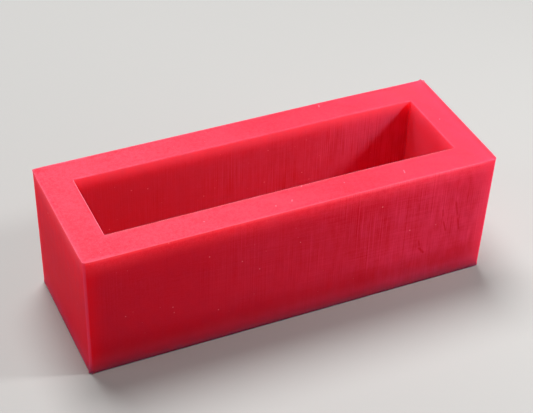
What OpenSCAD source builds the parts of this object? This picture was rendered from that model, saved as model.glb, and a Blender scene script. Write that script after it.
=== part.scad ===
// Soap loaf mould: one thick-walled trough cast in flexible silicone, open at the top.
// The origin is the centre of the resting face, +Z is up and +X runs along the loaf. Millimetres.

/* [Outside] */
// Length over the rim
rim_l = 250; // [200:1:300]
// Width over the rim
rim_w = 90; // [84:1:110]
// Height from the resting face to the rim
mould_h = 81; // [75:1:100]
// How far the foot of each outer face stands in from its top edge
outer_draft = 1.5; // [0:0.1:3]
// Width of the flat that breaks each of the four upright outer edges
upright_flat = 2.4; // [0.5:0.1:6]

/* [Walls] */
// Thickness of the two end walls at the rim
end_wall = 18.5; // [12:0.5:24]
// Thickness of the two long walls at the rim
side_wall = 18.5; // [12:0.5:24]
// Thickness of the floor under the loaf
floor_t = 16; // [10:1:25]

/* [Cavity] */
// Radius of the four upright corners of the cavity
cavity_corner_r = 1; // [0.5:0.1:5]

/* [Hidden] */

// Silicone red
silicone_colour = [0.80, 0.12, 0.17];

// The loaf that the mould casts
loaf_l = rim_l - 2 * end_wall;
loaf_w = rim_w - 2 * side_wall;

// Distance between two opposite upright flats, measured square to them at the rim
corner_span = (rim_l + rim_w) / sqrt(2) - upright_flat;

// Height by which the cavity's cutting shape stands out of the rim
cut_over = 5;

// Upright slab whose two ends lean in towards the foot: length at the rim, height, depth along Y
module leaning_slab(length, height, draft, depth) {
    top = length / 2;
    foot = top - draft;
    rotate([90, 0, 0])
        linear_extrude(height = depth, center = true)
            polygon([[-foot, 0], [foot, 0], [top, height], [-top, height]]);
}

// Outer block: every side face leans in by the same draft, and all its faces are flat.
// Two more slabs lie corner to corner and break the four upright edges.
module outer_block() {
    intersection() {
        leaning_slab(rim_l, mould_h, outer_draft, rim_w);
        rotate([0, 0, 90])
            leaning_slab(rim_w, mould_h, outer_draft, rim_l);
        intersection_for (turn = [-45, 45])
            rotate([0, 0, turn])
                leaning_slab(corner_span, mould_h, outer_draft * sqrt(2), rim_l + rim_w);
    }
}

// Upright bar with four rounded corners: length along X, width along Y, height, corner radius
module round_cornered_bar(length, width, height, radius) {
    for (sx = [-1, 1], sy = [-1, 1])
        translate([sx * (length / 2 - radius), sy * (width / 2 - radius), 0])
            cylinder(h = height, r = radius, $fn = 48);
    translate([0, 0, height / 2]) {
        cube([length, width - 2 * radius, height], center = true);
        cube([length - 2 * radius, width, height], center = true);
    }
}

// The whole casting: solid walls and floor around a straight-sided cavity
module mould_body() {
    color(silicone_colour)
        difference() {
            outer_block();
            translate([0, 0, floor_t])
                round_cornered_bar(loaf_l, loaf_w, mould_h - floor_t + cut_over, cavity_corner_r);
        }
}

mould_body();
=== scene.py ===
"""Soap loaf mould: one thick-walled casting in red silicone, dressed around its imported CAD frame.

The casting is rebuilt as one closed mesh of rings. The rings start under the foot, climb the outer
walls, cross the rim, go down the cavity and end on its floor. Metres, in the CAD's own frame.
"""

import math
from types import SimpleNamespace

import bpy
import numpy as np
from mathutils import Matrix, Vector


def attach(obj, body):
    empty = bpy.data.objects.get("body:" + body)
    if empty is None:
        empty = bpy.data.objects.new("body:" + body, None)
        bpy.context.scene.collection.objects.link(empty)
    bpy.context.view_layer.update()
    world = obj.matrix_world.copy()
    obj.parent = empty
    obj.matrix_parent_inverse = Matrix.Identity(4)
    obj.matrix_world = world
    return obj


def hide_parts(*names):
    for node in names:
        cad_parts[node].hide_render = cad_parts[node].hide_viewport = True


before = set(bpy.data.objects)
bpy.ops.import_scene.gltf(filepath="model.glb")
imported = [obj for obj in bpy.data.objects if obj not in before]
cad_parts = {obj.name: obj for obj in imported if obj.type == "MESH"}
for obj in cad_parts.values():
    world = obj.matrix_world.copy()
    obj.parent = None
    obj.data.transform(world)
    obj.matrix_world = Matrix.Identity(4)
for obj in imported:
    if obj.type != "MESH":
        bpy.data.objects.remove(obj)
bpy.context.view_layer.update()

NODE = "mould_body"
MM = 0.001

# Corners of the CAD node lie on one level if they are this close
SAME_LEVEL = 0.1 * MM

# Segments of every ring: on a long side, a short side and a corner
LONG_SEGMENTS = 288
SHORT_SEGMENTS = 96
CORNER_SEGMENTS = 8

# Levels of rings up an outer wall, and down a wall of the cavity
OUTER_ROWS = 46
INNER_ROWS = 36

# Edge radii of the casting
OUTER_RADIUS = 1.9 * MM
CAVITY_RADIUS = 1.0 * MM
RIM_RADIUS = 0.35 * MM
FOOT_RADIUS = 0.6 * MM
FLOOR_RADIUS = 1.0 * MM

# Points of each rounded edge, in section
EDGE_POINTS = 4
FLOOR_EDGE_POINTS = 5

# The poured rim creeps up at its edges: how high, and how fast that dies away
LIP_HEIGHT = 0.35 * MM
LIP_WIDTH = 0.8 * MM

# Distances of the rim's rings from its nearer edge, besides the ring on its middle
RIM_STEPS = np.array([0.6, 0.9, 1.3, 1.8, 2.5, 3.5, 5.0, 7.0]) * MM

# The foot's flat part starts this far inside its edge
FOOT_INSET = 3 * MM

# A flat end is closed by rings with every second and every fourth point: share, inset
END_RINGS = [(2, 2 * MM), (4, 5 * MM)]

# Small tips where the silicone crept into the corners of the casting frame: level, side along x
# and y, distance from the corner along x and y, how far it is drawn out, width
TIPS = [
    ("rim", -1, 1, 0.3 * MM, 1.4 * MM, 0.45 * MM, 0.9 * MM),
    ("rim", 1, 1, 2.0 * MM, 0.1 * MM, 0.75 * MM, 0.8 * MM),
    ("rim", 1, 1, 0.1 * MM, 2.0 * MM, 0.60 * MM, 0.8 * MM),
    ("rim", 1, -1, 0.6 * MM, 0.6 * MM, 0.25 * MM, 1.2 * MM),
    ("foot", -1, -1, 0.1 * MM, 1.9 * MM, 1.20 * MM, 0.8 * MM),
    ("foot", -1, -1, 1.9 * MM, 0.1 * MM, 1.00 * MM, 0.8 * MM),
]

# The outer walls draw in a little beside the upright edges: how deep, and over what width
RELIEF = 0.30 * MM
RELIEF_WIDTH = 9 * MM

# The long walls bow: how far at the middle of the rim, outside and inside the cavity
BOW_OUTSIDE = -0.25 * MM
BOW_INSIDE = 0.35 * MM

# Slow print marks in the walls: period and size of the upright ones and of the flat layers
UPRIGHT_RIPPLES = [(8.0 * MM, 0.012 * MM), (4.0 * MM, 0.010 * MM)]
LAYER_RIPPLES = [(13.0 * MM, 0.020 * MM), (6.0 * MM, 0.010 * MM)]

# They vary along their own length over about this far, and fade out beside the corners
UPRIGHT_DRIFT = 11 * MM
LAYER_DRIFT = 23 * MM
RIPPLE_FADE = 4 * MM

# Stance of the soft block: its rim stands a little towards +X, and sags near that end
LEAN = 0.8 * MM
SAG = 0.7 * MM
SAG_START = 0.45


def read_casting():
    """Half sizes and levels of the casting, read off the corners of its CAD node."""
    corners = np.array([v.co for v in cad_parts[NODE].data.vertices])
    z = corners[:, 2]
    on_foot = z < z.min() + SAME_LEVEL
    floor = z[~on_foot].min()
    on_floor = np.abs(z - floor) < SAME_LEVEL
    return {
        "height": z.max(),
        "floor": floor,
        "rim": np.abs(corners).max(0)[:2],
        "foot": np.abs(corners[on_foot]).max(0)[:2],
        "cavity": np.abs(corners[on_floor]).max(0)[:2],
    }


def ring(half, radius, share=1):
    """Points and outward directions of a rounded rectangle, anticlockwise from its front-left.

    share is 1, 2 or 4: the ring has one point for that many of a full ring's points.
    """
    turn = np.linspace(0, math.pi / 2, CORNER_SEGMENTS // share + 1)[:-1]
    points, outward = [], []
    for quarter in range(4):
        long_side = quarter % 2 == 0
        segments = (LONG_SEGMENTS if long_side else SHORT_SEGMENTS) // share
        run, out = half if long_side else half[::-1]
        straight = np.linspace(-1, 1, segments + 1)[:-1] * (run - radius)
        direction = np.concatenate([np.zeros(segments), turn])
        direction = np.column_stack([np.sin(direction), -np.cos(direction)])
        centre = np.concatenate([straight, np.full(len(turn), run - radius)])
        centre = np.column_stack([centre, np.full(len(centre), radius - out)])
        spin = math.pi / 2 * quarter
        turned = [[math.cos(spin), math.sin(spin)], [-math.sin(spin), math.cos(spin)]]
        points.append((centre + radius * direction) @ turned)
        outward.append(direction @ turned)
    return np.concatenate(points), np.concatenate(outward)


def ripple(along, level, seed):
    """Slow print marks in a cast wall: upright ones from the printer's screw, and flat layers."""
    dice = np.random.default_rng(seed)
    height = np.zeros_like(along)
    for period, size in UPRIGHT_RIPPLES:
        phase, drift = dice.uniform(0, 2 * math.pi, 2)
        patch = 0.7 + 0.3 * np.sin(level / UPRIGHT_DRIFT + drift)
        height += size * patch * np.sin(2 * math.pi * along / period + phase)
    for period, size in LAYER_RIPPLES:
        phase, drift = dice.uniform(0, 2 * math.pi, 2)
        patch = 0.6 + 0.4 * np.sin(along / LAYER_DRIFT + drift)
        height += size * patch * np.sin(2 * math.pi * level / period + phase)
    return height


def bow(along, half_length, level, height, size):
    """Bulge of a soft wall: nothing at its ends and foot, most in the middle of its rim."""
    return size * (1 - (along / half_length) ** 2) * (level / height) ** 2


def wall_ring(half, radius, level, casting, inner=False):
    """One ring of an upright wall, with its print marks and its slight bow."""
    points, outward = ring(half, radius)
    on_long = np.abs(outward[:, 1]) > np.abs(outward[:, 0])
    along = np.where(on_long, points[:, 0], points[:, 1])
    length = np.where(on_long, half[0], half[1])
    from_corner = length - np.abs(along)
    fade = np.clip(from_corner / RIPPLE_FADE, 0, 1)
    side = on_long * 2 + (np.where(on_long, points[:, 1], points[:, 0]) > 0)
    lift = np.zeros(len(points))
    for number in range(4):
        here = side == number
        marks = ripple(along[here], np.full(here.sum(), level), 10 * number + inner)
        lift[here] = marks * fade[here]
    swell = BOW_INSIDE if inner else BOW_OUTSIDE
    lift += on_long * bow(along, length, level, casting["height"], swell)
    if not inner:
        lift -= RELIEF * np.clip(1 - from_corner / RELIEF_WIDTH, 0, 1) ** 2
    push = -lift if inner else lift
    return np.column_stack([points + outward * push[:, None], np.full(len(points), level)])


def quarter_turn(count):
    """Shares of a quarter round from its start to its end: across first, then up."""
    angle = np.linspace(0, math.pi / 2, count)
    return np.column_stack([np.sin(angle), 1 - np.cos(angle)])


def casting_rings(c):
    """Every full ring of the casting, from under the foot to the cavity's floor."""
    rings = []

    def flat(half, radius, level):
        points, _ = ring(half, radius)
        rings.append(np.column_stack([points, np.full(len(points), level)]))

    flat(c["foot"] - FOOT_INSET, OUTER_RADIUS, 0)
    for across, up in quarter_turn(EDGE_POINTS):
        inset = FOOT_RADIUS * (1 - across)
        flat(c["foot"] - inset, OUTER_RADIUS, FOOT_RADIUS * up)
    top = c["height"] - RIM_RADIUS
    for level in np.linspace(FOOT_RADIUS, top, OUTER_ROWS)[1:]:
        half = c["foot"] + (c["rim"] - c["foot"]) * level / c["height"]
        rings.append(wall_ring(half, OUTER_RADIUS, level, c))
    for across, up in quarter_turn(EDGE_POINTS)[1:]:
        half = c["rim"] - RIM_RADIUS * up
        rings.append(wall_ring(half, OUTER_RADIUS, top + RIM_RADIUS * across, c))
    wall = (c["rim"] - c["cavity"]).mean()
    outside = wall_ring(c["rim"], OUTER_RADIUS, c["height"], c)
    inside = wall_ring(c["cavity"], CAVITY_RADIUS, c["height"], c, inner=True)
    for away in np.concatenate([RIM_STEPS, [wall / 2], wall - RIM_STEPS[::-1]]):
        edge = min(away, wall - away)
        sink = LIP_HEIGHT * (1 - math.exp(-(edge - RIM_RADIUS) / LIP_WIDTH))
        share = away / wall
        across = outside * (1 - share) + inside * share
        across[:, 2] = c["height"] - sink
        rings.append(across)
    for across, up in quarter_turn(EDGE_POINTS)[::-1]:
        half = c["cavity"] + RIM_RADIUS * up
        rings.append(wall_ring(half, CAVITY_RADIUS, top + RIM_RADIUS * across, c, inner=True))
    bottom = c["floor"] + FLOOR_RADIUS
    for level in np.linspace(top, bottom, INNER_ROWS)[1:]:
        rings.append(wall_ring(c["cavity"], CAVITY_RADIUS, level, c, inner=True))
    for across, up in quarter_turn(FLOOR_EDGE_POINTS)[1:]:
        flat(c["cavity"] - FLOOR_RADIUS * up, CAVITY_RADIUS, bottom - FLOOR_RADIUS * across)
    return rings


def pull_tips(points, c):
    """Draws the small corner tips out of the rim and the foot."""
    for level, side_x, side_y, slide_x, slide_y, out, width in TIPS:
        half_x, half_y = c[level]
        up = level == "rim"
        tip = [side_x * (half_x - slide_x), side_y * (half_y - slide_y), up * c["height"]]
        near = np.linalg.norm(points - np.array(tip), axis=1)
        pull = out * np.exp(-((near / width) ** 2))
        points[:, 0] += side_x * pull * 0.5
        points[:, 1] += side_y * pull * 0.5
        points[:, 2] += up * pull


def settle(points, c):
    """Gives the soft block its stance: a slight lean, and a rim that sags at one end."""
    rise = points[:, 2] / c["height"]
    end = np.clip((points[:, 0] / c["rim"][0] - SAG_START) / (1 - SAG_START), 0, 1)
    points[:, 0] += LEAN * (rise - 0.5)
    points[:, 2] -= SAG * end**2 * (3 - 2 * end) * rise**2


def join_rings(first, second, count):
    """Quads between two full rings that start at these vertex numbers."""
    i = np.arange(count)
    j = (i + 1) % count
    return np.column_stack([first + i, first + j, second + j, second + i]).tolist()


def halve_ring(first, second, count, flip):
    """Triangles from a ring of count points to one of half as many."""
    faces = []
    for k in range(count // 2):
        a, b, c = first + 2 * k, first + 2 * k + 1, first + (2 * k + 2) % count
        d, e = second + k, second + (k + 1) % (count // 2)
        for face in ([a, b, d], [b, e, d], [b, c, e]):
            faces.append(face[::-1] if flip else face)
    return faces


def fill_ring(points, start, first_new, flip):
    """Grid across a ring whose corners have two segments each: new points and quads.

    Each side of the grid takes the nearer segment of the corner at each of its ends.
    """
    share = END_RINGS[-1][0]
    across, deep = LONG_SEGMENTS // share + 2, SHORT_SEGMENTS // share + 2
    count = len(points)
    order = [(k - 1) % count for k in range(count)]
    front = order[: across + 1]
    right = order[across : across + deep + 1]
    back = order[across + deep : 2 * across + deep + 1][::-1]
    left = (order[2 * across + deep :] + order[:1])[::-1]
    grid = np.zeros((deep + 1, across + 1), int)
    grid[0], grid[-1] = start + np.array(front), start + np.array(back)
    grid[:, 0], grid[:, -1] = start + np.array(left), start + np.array(right)
    new = []
    for row in range(1, deep):
        for column in range(1, across):
            u, v = column / across, row / deep
            edges = (1 - v) * points[front[column]] + v * points[back[column]]
            edges = edges + (1 - u) * points[left[row]] + u * points[right[row]]
            low = (1 - u) * points[front[0]] + u * points[front[-1]]
            high = (1 - u) * points[back[0]] + u * points[back[-1]]
            grid[row, column] = first_new + len(new)
            new.append(edges - (1 - v) * low - v * high)
    faces = []
    for row in range(deep):
        for column in range(across):
            face = [
                grid[row, column],
                grid[row, column + 1],
                grid[row + 1, column + 1],
                grid[row + 1, column],
            ]
            faces.append(face[::-1] if flip else face)
    return new, faces


def close_end(half, radius, level, edge_start, total, count, flip):
    """Closes a flat end inside a full ring: two halvings, then a grid. Points and faces."""
    points, faces = [], []
    start = edge_start
    for share, inset in END_RINGS:
        flat, _ = ring(half - inset, radius, share)
        flat = np.column_stack([flat, np.full(len(flat), level)])
        here = total + len(points)
        faces += halve_ring(start, here, count * 2 // share, flip)
        points += flat.tolist()
        start = here
    new, quads = fill_ring(flat, start, total + len(points), flip)
    return points + [list(p) for p in new], faces + [[int(i) for i in q] for q in quads]


def make_casting(c):
    """The whole casting as one closed mesh."""
    rings = casting_rings(c)
    count = len(rings[0])
    points = np.concatenate(rings)
    pull_tips(points, c)
    points = points.tolist()
    faces = []
    for k in range(len(rings) - 1):
        faces += join_rings(k * count, (k + 1) * count, count)
    inside_foot = c["foot"] - FOOT_INSET
    foot, quads = close_end(inside_foot, OUTER_RADIUS, 0, 0, len(points), count, flip=True)
    points += foot
    faces += quads
    last, total = (len(rings) - 1) * count, len(points)
    inside_floor = c["cavity"] - FLOOR_RADIUS
    floor, quads = close_end(
        inside_floor, CAVITY_RADIUS, c["floor"], last, total, count, flip=False
    )
    points = np.array(points + floor)
    faces += quads
    settle(points, c)
    mesh = bpy.data.meshes.new("silicone_casting")
    mesh.from_pydata(points.tolist(), [], faces)
    mesh.validate()
    mesh.shade_smooth()
    piece = bpy.data.objects.new("silicone_casting", mesh)
    bpy.context.scene.collection.objects.link(piece)
    return piece


class Nodes:
    """Short ways to write a material's node tree."""

    def __init__(self, material):
        material.use_nodes = True
        self.tree = material.node_tree
        self.shader = self.tree.nodes["Principled BSDF"]

    def add(self, kind, **settings):
        """A new node with these settings."""
        node = self.tree.nodes.new(kind)
        for name, value in settings.items():
            setattr(node, name, value)
        return node

    def feed(self, socket, value):
        """Links an output to a socket, or sets the socket to a constant."""
        if isinstance(value, bpy.types.NodeSocket):
            self.tree.links.new(value, socket)
        else:
            socket.default_value = value

    def math(self, operation, *values):
        """One math node on these values."""
        node = self.add("ShaderNodeMath", operation=operation)
        for socket, value in zip(node.inputs, values):
            self.feed(socket, value)
        return node.outputs[0]

    def total(self, values):
        """The sum of a list of values."""
        result = values[0]
        for value in values[1:]:
            result = self.math("ADD", result, value)
        return result

    def times(self, *values):
        """The product of the values."""
        result = values[0]
        for value in values[1:]:
            result = self.math("MULTIPLY", result, value)
        return result

    def weighted(self, parts, start=0.0):
        """The start value plus each part times its weight."""
        return self.total([start] + [self.times(*part) for part in parts])

    def clamp(self, value):
        """The value kept from 0 to 1."""
        return self.math("MINIMUM", self.math("MAXIMUM", value, 0.0), 1.0)

    def split(self, vector):
        """A list of the three parts of a vector."""
        node = self.add("ShaderNodeSeparateXYZ")
        self.feed(node.inputs[0], vector)
        return list(node.outputs)

    def join(self, x, y, z):
        """A vector of three parts."""
        node = self.add("ShaderNodeCombineXYZ")
        for socket, value in zip(node.inputs, (x, y, z)):
            self.feed(socket, value)
        return node.outputs[0]

    def pick(self, share, low, high):
        """low where share is 0, high where it is 1."""
        node = self.add("ShaderNodeMix", data_type="FLOAT")
        for number, value in ((0, share), (2, low), (3, high)):
            self.feed(node.inputs[number], value)
        return node.outputs[0]

    def tint(self, share, low, high):
        """The colour low where share is 0, high where it is 1."""
        node = self.add("ShaderNodeMix", data_type="RGBA")
        for number, value in ((0, share), (6, low), (7, high)):
            self.feed(node.inputs[number], value)
        return node.outputs[2]

    def noise(self, vector, size, detail=2.0):
        """Cloudy noise from 0 to 1 with patches of about this size."""
        node = self.add("ShaderNodeTexNoise")
        self.feed(node.inputs["Vector"], vector)
        node.inputs["Scale"].default_value = 1 / size
        node.inputs["Detail"].default_value = detail
        return node.outputs["Fac"]

    def signed(self, noise, reach):
        """Noise from 0 to 1, spread from -reach to reach."""
        return self.math("MULTIPLY_ADD", noise, 2 * reach, -reach)

    def wave(self, coordinate, period, phase):
        """A sine along a coordinate."""
        turn = self.math("MULTIPLY_ADD", coordinate, 2 * math.pi / period, phase)
        return self.math("SINE", turn)

    def ramp(self, value, low, high):
        """0 below low, 1 above high."""
        node = self.add("ShaderNodeMapRange", interpolation_type="SMOOTHSTEP")
        self.feed(node.inputs["Value"], value)
        node.inputs["From Min"].default_value = low
        node.inputs["From Max"].default_value = high
        return node.outputs["Result"]

    def fall(self, value, low, high):
        """1 below low, 0 above high."""
        return self.math("SUBTRACT", 1.0, self.ramp(value, low, high))

    def specks(self, vector, cell, radius):
        """Scattered round specks: about one to each cell, seen where it lies in the skin."""
        node = self.add("ShaderNodeTexVoronoi")
        self.feed(node.inputs["Vector"], vector)
        node.inputs["Scale"].default_value = 1 / cell
        distance = self.times(node.outputs["Distance"], cell)
        return self.fall(distance, radius * 0.5, radius)

    def stroke(self, across, up, start, end, width):
        """A straight scratch between two points of a flat face, fading towards both."""
        run, rise = end[0] - start[0], end[1] - start[1]
        length = math.hypot(run, rise)
        from_start = self.math("SUBTRACT", across, start[0])
        above = self.math("SUBTRACT", up, start[1])
        along = self.weighted([(from_start, run / length), (above, rise / length)])
        aside = self.weighted([(from_start, rise / length), (above, -run / length)])
        aside = self.math("ABSOLUTE", aside)
        from_middle = self.math("ABSOLUTE", self.math("SUBTRACT", along, length / 2))
        inside = self.fall(from_middle, length * 0.3, length * 0.5)
        return self.times(self.fall(aside, 0.0, width), inside)


# How far from the middle the cavity's skin gives way to the rim's, along X and along Y
CAVITY_HALF_X = (107 * MM, 108 * MM)
CAVITY_HALF_Y = (26.9 * MM, 28 * MM)

# The outer face of the front wall lies in front of this
FRONT_Y = -42 * MM


def read_places(n):
    """Where a point of the skin lies: coordinates, how it faces, and shares from 0 to 1."""
    point = n.add("ShaderNodeTexCoord").outputs["Object"]
    x, y, z = n.split(point)
    normal = n.split(n.add("ShaderNodeNewGeometry").outputs["Normal"])
    facing_x, facing_y, facing_z = (n.math("ABSOLUTE", part) for part in normal)
    aside_x, aside_y = n.math("ABSOLUTE", x), n.math("ABSOLUTE", y)
    in_cavity = n.times(n.fall(aside_y, *CAVITY_HALF_Y), n.fall(aside_x, *CAVITY_HALF_X))
    on_wall = n.fall(facing_z, 0.3, 0.8)
    on_long = n.ramp(n.math("SUBTRACT", facing_y, facing_x), -0.1, 0.1)
    on_end = n.fall(on_long, 0.2, 0.8)
    return SimpleNamespace(
        point=point,
        x=x,
        y=y,
        z=z,
        aside_y=aside_y,
        normal=normal,
        facing_x=facing_x,
        facing_y=facing_y,
        facing_z=facing_z,
        on_wall=on_wall,
        on_long=on_long,
        on_end=on_end,
        along=n.pick(on_long, y, x),
        in_cavity=in_cavity,
        on_cavity_end=n.times(in_cavity, n.times(on_wall, on_end)),
        towards_right=n.ramp(x, -75 * MM, 130 * MM),
    )


# Sizes of the skin's patterns, and how far the layers waver
LINE_SIZE = 1.0 * MM
LINE_PATCH_SIZE = 26 * MM
LAYER_SIZE = 0.9 * MM
LAYER_PATCH_SIZE = 22 * MM
WAVER_SIZE = 14 * MM
WAVER_HEIGHT = 1.2 * MM
GRAIN_SIZE = 0.7 * MM
BLOTCH_SIZE = 2.0 * MM
STREAK_SIZE = 4 * MM
FOOT_HAZE_SIZE = 9 * MM
CLOUD_SIZE = 20 * MM

# How far patterns are drawn out: upright lines, layers, and the clouds across and up a wall
LINE_STRETCH = 0.03
LAYER_STRETCH = 0.04
CLOUD_STRETCH = (0.2, 0.35)
LAYER_TILT = 0.06

# Strength of the fine lines and the layers
LINE_STRENGTH = 1.9
LAYER_STRENGTH = 1.3

# How much fine relief each pattern gives the skin
MARK_RELIEF = 0.0065 * MM
GRAIN_RELIEF = 0.0030 * MM
SPECK_RELIEF = 0.04 * MM
SCRATCH_RELIEF = -0.05 * MM
FLECK_RELIEF = 0.05 * MM

# Upright print lines that repeat: period, phase, strength
LINES = [
    (2.667 * MM, 0.4, 0.15),
    (2.0 * MM, 2.1, 0.20),
    (1.333 * MM, 0.9, 0.45),
]

# Third coordinates of the layers' three noises, so that none repeats another
WAVER_SEED = 5.0
LAYER_SEED = 3.0
PATCH_SEED = 0.3


def upright_marks(n, at):
    """Upright lines that the printed frame left, strong in some places and faint in others."""
    waves = [(n.wave(at.along, period, phase), strength) for period, phase, strength in LINES]
    drawn_out = n.join(at.along, 0.0, n.times(at.z, LINE_STRETCH))
    fine = n.signed(n.noise(drawn_out, LINE_SIZE, 1.0), LINE_STRENGTH)
    here = n.ramp(n.noise(at.point, LINE_PATCH_SIZE), 0.38, 0.62)
    return n.times(n.math("ADD", n.weighted(waves), fine), n.pick(here, 0.25, 1.0))


def layer_marks(n, at):
    """The frame's print layers: flat, slightly tilted and wavering lines, faint in the cavity."""
    waver = n.noise(n.join(at.along, at.z, WAVER_SEED), WAVER_SIZE, 1.0)
    waver = n.times(waver, WAVER_HEIGHT)
    level = n.math("ADD", n.math("MULTIPLY_ADD", at.along, LAYER_TILT, at.z), waver)
    drawn_out = n.join(n.times(at.along, LAYER_STRETCH), level, LAYER_SEED)
    layers = n.signed(n.noise(drawn_out, LAYER_SIZE, 1.0), LAYER_STRENGTH)
    patches = n.noise(n.join(at.along, at.z, PATCH_SEED), LAYER_PATCH_SIZE)
    here = n.pick(n.ramp(patches, 0.35, 0.65), 0.4, 1.0)
    here = n.times(here, n.pick(at.in_cavity, 1.0, 0.35))
    return n.times(layers, here)


def print_marks(n, at):
    """The walls' print marks, about -1 to 1: stronger to the right, the rim and the back.

    In the cavity they are stronger on the long walls and weak on the ends.
    """
    to_right = n.pick(n.ramp(at.along, -110 * MM, 90 * MM), 0.28, 1.33)
    to_rim = n.pick(n.ramp(at.z, 10 * MM, 60 * MM), 0.6, 1.0)
    marks = n.math("ADD", upright_marks(n, at), layer_marks(n, at))
    marks = n.times(marks, n.times(to_right, to_rim))
    in_cavity = n.pick(at.on_cavity_end, 1.6, 0.3)
    return n.times(n.times(marks, at.on_wall), n.pick(at.in_cavity, 1.0, in_cavity))


# Specks in the skin: distance between them, radius
SPECKS = [(11 * MM, 0.55 * MM), (6 * MM, 0.25 * MM)]

# Light scratches on the front wall: start and end as (x, z), width
SCRATCHES = [
    ((0.1008, 0.0570), (0.1033, 0.0440), 1.0 * MM),
    ((0.1033, 0.0440), (0.1055, 0.0325), 1.1 * MM),
    ((0.0938, 0.0440), (0.0965, 0.0345), 1.0 * MM),
    ((0.0925, 0.0530), (0.0935, 0.0465), 0.7 * MM),
    ((0.0785, 0.0285), (0.0835, 0.0220), 1.3 * MM),
    ((0.0785, 0.0340), (0.0795, 0.0285), 0.9 * MM),
]

# Light flecks on the rim: start and end as (x, y), width
FLECKS = [
    ((0.0697, -0.0343), (0.0688, -0.0379), 0.6 * MM),
    ((-0.0003, -0.0355), (-0.0015, -0.0376), 0.6 * MM),
    ((0.0533, 0.0431), (0.0525, 0.0406), 0.6 * MM),
    ((-0.0108, -0.0370), (-0.0114, -0.0382), 0.7 * MM),
]


def add_textures(n, at):
    """The skin's patterns, kept with its places: marks, grain, specks, strokes and clouds."""
    at.marks = print_marks(n, at)
    at.grain = n.signed(n.noise(at.point, GRAIN_SIZE), 1.0)
    at.specks = n.total([n.specks(at.point, *size) for size in SPECKS])
    scratches = n.total([n.stroke(at.x, at.z, *scratch) for scratch in SCRATCHES])
    at.scratches = n.times(scratches, n.math("LESS_THAN", at.y, FRONT_Y))
    flecks = n.total([n.stroke(at.x, at.y, *fleck) for fleck in FLECKS])
    at.flecks = n.times(flecks, n.ramp(at.facing_z, 0.5, 0.9))
    across, up = CLOUD_STRETCH
    at.tall = n.join(at.along, n.times(at.y, across), n.times(at.z, up))
    at.cloud = n.ramp(n.noise(at.tall, CLOUD_SIZE, 3.0), 0.35, 0.70)
    at.streaks = n.signed(n.noise(at.tall, STREAK_SIZE), 0.5)


def fine_relief(n, at):
    """The normal of the skin, with the fine relief of its patterns."""
    parts = [
        (at.marks, MARK_RELIEF),
        (at.grain, GRAIN_RELIEF),
        (at.specks, SPECK_RELIEF),
        (at.scratches, SCRATCH_RELIEF),
        (at.flecks, FLECK_RELIEF),
    ]
    bump = n.add("ShaderNodeBump")
    bump.inputs["Strength"].default_value = 1.0
    bump.inputs["Distance"].default_value = 1.0
    n.feed(bump.inputs["Height"], n.weighted(parts))
    return bump.outputs["Normal"]


def bloom_and_sheen_share(n, at):
    """How hazy the skin is: more towards the right end, which is painted sheen, in streaks, less in
    a band low down. The rest is the skin's bloom.
    """
    # Painted sheen: the haze grows towards the right end
    to_right = [(n.ramp(at.x, 30 * MM, 100 * MM), 0.7), (n.ramp(at.x, -75 * MM, 0.0), 0.3)]
    haze_and_sheen = n.times(n.weighted(to_right), n.pick(at.cloud, 0.6, 1.1))
    streaks = n.times(at.streaks, n.pick(at.towards_right, 0.1, 1.0))
    parts = [(haze_and_sheen, 0.70), (streaks, 1.0), (at.marks, 0.21), (at.grain, 0.18)]
    band = n.times(n.ramp(at.z, 7 * MM, 13 * MM), n.fall(at.z, 17 * MM, 26 * MM))
    return n.times(n.clamp(n.weighted(parts, 0.2)), n.pick(band, 1.0, 0.6))


# Colours of the skin: pairs from clear to hazy; the hazy end is partly the skin's bloom and partly
# painted sheen
OUTSIDE = (0.60, 0.004, 0.015, 1), (0.79, 0.042, 0.112, 1)
CAVITY = (0.61, 0.027, 0.049, 1), (0.73, 0.078, 0.165, 1)

# Pairs from the left end of the casting to its right end: the rim's red with painted sheen, the
# wall tops with painted glow, a painted highlight line under the rim, and painted glow on the
# cavity's lip
RIM_RED_AND_SHEEN = (0.82, 0.073, 0.116, 1), (0.80, 0.046, 0.078, 1)
WALL_TOP_GLOW = (0.80, 0.048, 0.084, 1), (0.82, 0.084, 0.155, 1)
PALE_HIGHLIGHT_LINE = (0.86, 0.085, 0.130, 1), (0.90, 0.190, 0.310, 1)
CAVITY_LIP_GLOW = (0.80, 0.145, 0.225, 1), (0.80, 0.120, 0.190, 1)

# The left end, from low to high, brightening towards its top as painted glow, and painted
# highlights on the rim's edges, outside and at the cavity
LEFT_END_WITH_TOP_GLOW = (0.67, 0.006, 0.021, 1), (0.79, 0.008, 0.028, 1)
RIM_EDGE_HIGHLIGHTS = (0.95, 0.15, 0.21, 1), (0.97, 0.30, 0.42, 1)

# Single colours
# Painted light: the cavity's end walls made brighter and redder
CAVITY_END_LIT = (0.80, 0.040, 0.076, 1)
# Painted glow on the long walls beside the left upright edge
LEFT_EDGE_GLOW = (0.74, 0.007, 0.020, 1)
# The foot's haze: partly the skin's bloom, partly painted light against the shade low down
FOOT_HAZE_AND_GLOW = (0.76, 0.034, 0.076, 1)
# Painted light on the lowest edge of the walls
LOWEST_EDGE_GLOW = (0.96, 0.046, 0.088, 1)
# Painted highlight on the upright corners and painted sheen at the right end
CORNER_SHEEN = (0.72, 0.055, 0.118, 1)
SPECK = (0.90, 0.28, 0.34, 1)
SCRATCH = (0.60, 0.005, 0.016, 1)
FLECK = (0.92, 0.26, 0.32, 1)


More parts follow.
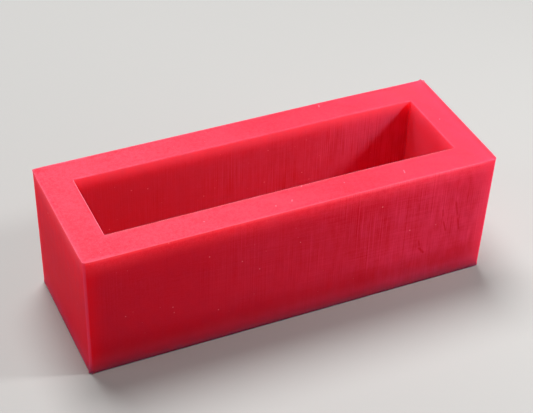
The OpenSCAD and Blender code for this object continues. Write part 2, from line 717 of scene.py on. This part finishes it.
def wall_colour(n, at, bloom_and_sheen):
    """Colour of the walls and the cavity's floor, with painted light on the cavity's end walls, the
    redder left end brightening towards its top as painted glow, and painted glow beside its near
    edge.
    """
    cavity = n.tint(bloom_and_sheen, *CAVITY)
    # Painted light on the cavity's end walls
    cavity = n.tint(n.times(at.on_cavity_end, 0.9), cavity, CAVITY_END_LIT)
    colour = n.tint(n.times(at.in_cavity, at.on_wall), n.tint(bloom_and_sheen, *OUTSIDE), cavity)
    on_left_end = n.times(n.fall(at.x, -118 * MM, -110 * MM), at.on_end)
    clear = n.clamp(n.weighted([(at.streaks, -1.2), (at.marks, -0.8)], 0.75))
    # Painted glow: the left end grows brighter towards its top
    left_end = n.tint(n.ramp(at.z, 40 * MM, 74 * MM), *LEFT_END_WITH_TOP_GLOW)
    colour = n.tint(n.times(clear, on_left_end), colour, left_end)
    # Painted glow on the long walls beside the left upright edge
    left_edge_glow = n.times(n.fall(at.x, -124 * MM, -112 * MM), n.ramp(at.on_long, 0.2, 0.8))
    return n.tint(n.times(left_edge_glow, 0.8), colour, LEFT_EDGE_GLOW)


def add_foot(n, at, colour):
    """Adds the uneven haze along the foot of the walls, partly bloom and partly painted light, and
    painted light on their bright lowest edge.
    """
    edge = n.math("MULTIPLY_ADD", n.noise(at.tall, FOOT_HAZE_SIZE), 8 * MM, 6 * MM)
    at_foot = n.ramp(n.math("SUBTRACT", edge, at.z), -6 * MM, 6 * MM)
    # Haze at the foot: partly bloom, partly painted light
    colour = n.tint(n.times(at_foot, at.on_wall, 0.5), colour, FOOT_HAZE_AND_GLOW)
    # Painted light on the lowest edge
    lowest_glow = n.times(n.fall(at.z, 0.5 * MM, 6 * MM), at.on_wall)
    return n.tint(lowest_glow, colour, LOWEST_EDGE_GLOW)


def add_rim(n, at, colour):
    """Adds the mottled rim with painted sheen, the wall tops with painted glow, a painted highlight
    line under the rim and painted glow on the cavity's lip.
    """
    blotches = n.signed(n.noise(at.point, BLOTCH_SIZE), 0.5)
    mottle = n.weighted([(at.cloud, 0.25), (blotches, 0.9), (at.grain, 0.55)], 0.70)
    at_rim = n.times(n.ramp(at.z, 68 * MM, 81 * MM), n.pick(at.on_wall, 1.0, 0.85))
    # The rim's red with painted sheen, from left to right
    rim = n.tint(n.ramp(at.x, -110 * MM, 60 * MM), *RIM_RED_AND_SHEEN)
    # Painted glow at the tops of the walls
    rim = n.tint(at.on_wall, rim, n.tint(at.towards_right, *WALL_TOP_GLOW))
    colour = n.tint(n.times(at_rim, mottle), colour, rim)
    outside = n.times(at.on_wall, n.math("SUBTRACT", 1.0, at.in_cavity))
    # Painted highlight: a pale line under the rim
    line = n.times(n.ramp(at.z, 78 * MM, 80.5 * MM), outside)
    line = n.times(line, n.math("MULTIPLY_ADD", at.marks, 0.25, 0.65))
    colour = n.tint(line, colour, n.tint(at.towards_right, *PALE_HIGHLIGHT_LINE))
    # Painted glow on the cavity's lip
    lip = n.times(n.ramp(at.z, 72 * MM, 81 * MM), n.times(at.on_wall, at.in_cavity))
    lip = n.times(lip, n.pick(at.on_cavity_end, 0.8, 0.2))
    return n.tint(lip, colour, n.tint(at.towards_right, *CAVITY_LIP_GLOW))


def add_edges(n, at, colour):
    """Adds painted highlights on the rim's edges, and painted highlight and sheen on the upright
    corners and the right end.
    """
    # Painted highlights along the rim's edges
    on_edge = n.times(n.ramp(at.facing_z, 0.1, 0.5), n.fall(at.facing_z, 0.90, 0.985))
    on_edge = n.times(on_edge, n.ramp(at.z, 70 * MM, 79 * MM))
    # Inside the cavity, only edges facing +X and +Y get the painted highlight
    highlit_side = n.ramp(n.math("ADD", at.normal[0], at.normal[1]), 0.0, 0.3)
    on_edge = n.times(on_edge, n.pick(at.in_cavity, 0.7, highlit_side))
    colour = n.tint(on_edge, colour, n.tint(at.in_cavity, *RIM_EDGE_HIGHLIGHTS))
    # Painted highlight on the upright corners, painted sheen at the right end
    on_corner = n.ramp(n.times(at.facing_x, at.facing_y), 0.15, 0.35)
    on_corner = n.times(on_corner, n.ramp(at.aside_y, 30 * MM, 35 * MM))
    right_end = n.times(n.ramp(at.x, 108 * MM, 124 * MM), 0.7, at.on_long)
    corner_and_end_sheen = n.math("MAXIMUM", on_corner, right_end)
    return n.tint(n.times(corner_and_end_sheen, 0.8), colour, CORNER_SHEEN)


# Silicone: its refraction, its highlight, and how far each colour of light runs under the skin
SILICONE_IOR = 1.42
HIGHLIGHT = 0.02
LIGHT_DEPTH = 32 * MM
DEPTH_BY_COLOUR = (1.0, 0.08, 0.08)


def silicone_material():
    """Translucent red silicone with a satin skin, hazy bloom, painted sheen, glow and highlights,
    and the print marks of its frame.
    """
    material = bpy.data.materials.new("red_silicone")
    n = Nodes(material)
    at = read_places(n)
    add_textures(n, at)
    bloom_and_sheen = bloom_and_sheen_share(n, at)
    colour = wall_colour(n, at, bloom_and_sheen)
    colour = add_foot(n, at, colour)
    colour = add_rim(n, at, colour)
    colour = add_edges(n, at, colour)
    colour = n.tint(n.times(at.specks, 0.6), colour, SPECK)
    colour = n.tint(n.times(at.scratches, 0.75), colour, SCRATCH)
    colour = n.tint(n.times(at.flecks, 0.6), colour, FLECK)

    shader = n.shader.inputs
    roughness = n.math("MULTIPLY_ADD", bloom_and_sheen, 0.10, n.pick(at.on_wall, 0.45, 0.52))
    n.feed(shader["Base Color"], colour)
    n.feed(shader["Roughness"], roughness)
    n.feed(shader["Normal"], fine_relief(n, at))
    shader["IOR"].default_value = SILICONE_IOR
    shader["Specular IOR Level"].default_value = HIGHLIGHT
    shader["Subsurface Weight"].default_value = 1.0
    shader["Subsurface Scale"].default_value = LIGHT_DEPTH
    shader["Subsurface Radius"].default_value = DEPTH_BY_COLOUR
    return material


# Floor: half its width, how far it lies under the foot, and its look
FLOOR_REACH = 12.0
FLOOR_GAP = 0.1 * MM
FLOOR_COLOUR = (0.42, 0.415, 0.405)
FLOOR_ROUGHNESS = 0.9

# Soft lamps round the casting: name, azimuth and elevation in degrees, distance, size, watts
LAMP_TARGET = (0, 0, 0.04)
LAMPS = [
    ("key", 65, 36, 0.8, 0.14, 3.5),
    ("top", 180, 68, 1.6, 0.9, 36),
    ("front_fill", 45, 20, 0.75, 0.4, 0.75),
    ("left_fill", -90, 15, 1.6, 0.9, 7.2),
]
WORLD_STRENGTH = 0.01

# Camera: what it looks at, its lens, and its place and roll in degrees
CAMERA_TARGET = (0.0025, 0.0039, 0.0465)
CAMERA_LENS = 101.3
CAMERA_SENSOR = 36
CAMERA_AZIMUTH = -24.93
CAMERA_ELEVATION = 37.72
CAMERA_DISTANCE = 0.876
CAMERA_ROLL = 1.62


def plain_material(name, colour, roughness):
    """A plain material of one colour, with a weak highlight."""
    material = bpy.data.materials.new(name)
    shader = Nodes(material).shader.inputs
    shader["Base Color"].default_value = (*colour, 1)
    shader["Roughness"].default_value = roughness
    shader["Specular IOR Level"].default_value = 0.2
    return material


def make_floor():
    """A plain pale floor just under the foot."""
    mesh = bpy.data.meshes.new("floor")
    corners = [(-FLOOR_REACH, -FLOOR_REACH, 0), (FLOOR_REACH, -FLOOR_REACH, 0)]
    corners += [(FLOOR_REACH, FLOOR_REACH, 0), (-FLOOR_REACH, FLOOR_REACH, 0)]
    mesh.from_pydata(corners, [], [(0, 1, 2, 3)])
    mesh.materials.append(plain_material("pale_floor", FLOOR_COLOUR, FLOOR_ROUGHNESS))
    floor = bpy.data.objects.new("floor", mesh)
    floor.location.z = -FLOOR_GAP
    bpy.context.scene.collection.objects.link(floor)


def aim(thing, target, roll=0.0):
    """Turns a lamp or camera at its place to look at a point."""
    look = (Vector(target) - thing.location).to_track_quat("-Z", "Y")
    thing.rotation_mode = "QUATERNION"
    thing.rotation_quaternion = look @ Matrix.Rotation(roll, 3, "Z").to_quaternion()


def round_the(point, azimuth, elevation, distance):
    """A place seen from a point: azimuth 0 is in front of it, 90 on its right, in degrees."""
    turn, rise = math.radians(azimuth), math.radians(elevation)
    flat = math.cos(rise)
    away = (math.sin(turn) * flat, -math.cos(turn) * flat, math.sin(rise))
    return Vector(point) + distance * Vector(away)


def soft_lamp(name, azimuth, elevation, distance, size, power):
    """A round white area lamp that looks at the casting."""
    lamp = bpy.data.lights.new(name, "AREA")
    lamp.shape = "DISK"
    lamp.size = size
    lamp.energy = power
    thing = bpy.data.objects.new(name, lamp)
    bpy.context.scene.collection.objects.link(thing)
    thing.location = round_the(LAMP_TARGET, azimuth, elevation, distance)
    aim(thing, LAMP_TARGET)


def make_world():
    """A very dim white surround."""
    world = bpy.data.worlds.new("studio")
    world.use_nodes = True
    background = world.node_tree.nodes["Background"].inputs
    background["Color"].default_value = (1, 1, 1, 1)
    background["Strength"].default_value = WORLD_STRENGTH
    bpy.context.scene.world = world


def make_camera():
    """The camera, high in front of the casting and a little to its left."""
    lens = bpy.data.cameras.new("camera")
    lens.lens = CAMERA_LENS
    lens.sensor_width = CAMERA_SENSOR
    camera = bpy.data.objects.new("camera", lens)
    bpy.context.scene.collection.objects.link(camera)
    camera.location = round_the(CAMERA_TARGET, CAMERA_AZIMUTH, CAMERA_ELEVATION, CAMERA_DISTANCE)
    aim(camera, CAMERA_TARGET, math.radians(CAMERA_ROLL))
    bpy.context.scene.camera = camera


casting = make_casting(read_casting())
casting.data.materials.append(silicone_material())
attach(casting, "root")
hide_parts(NODE)

make_floor()
make_camera()
make_world()
for lamp in LAMPS:
    soft_lamp(*lamp)
bpy.context.scene.view_settings.view_transform = "Standard"
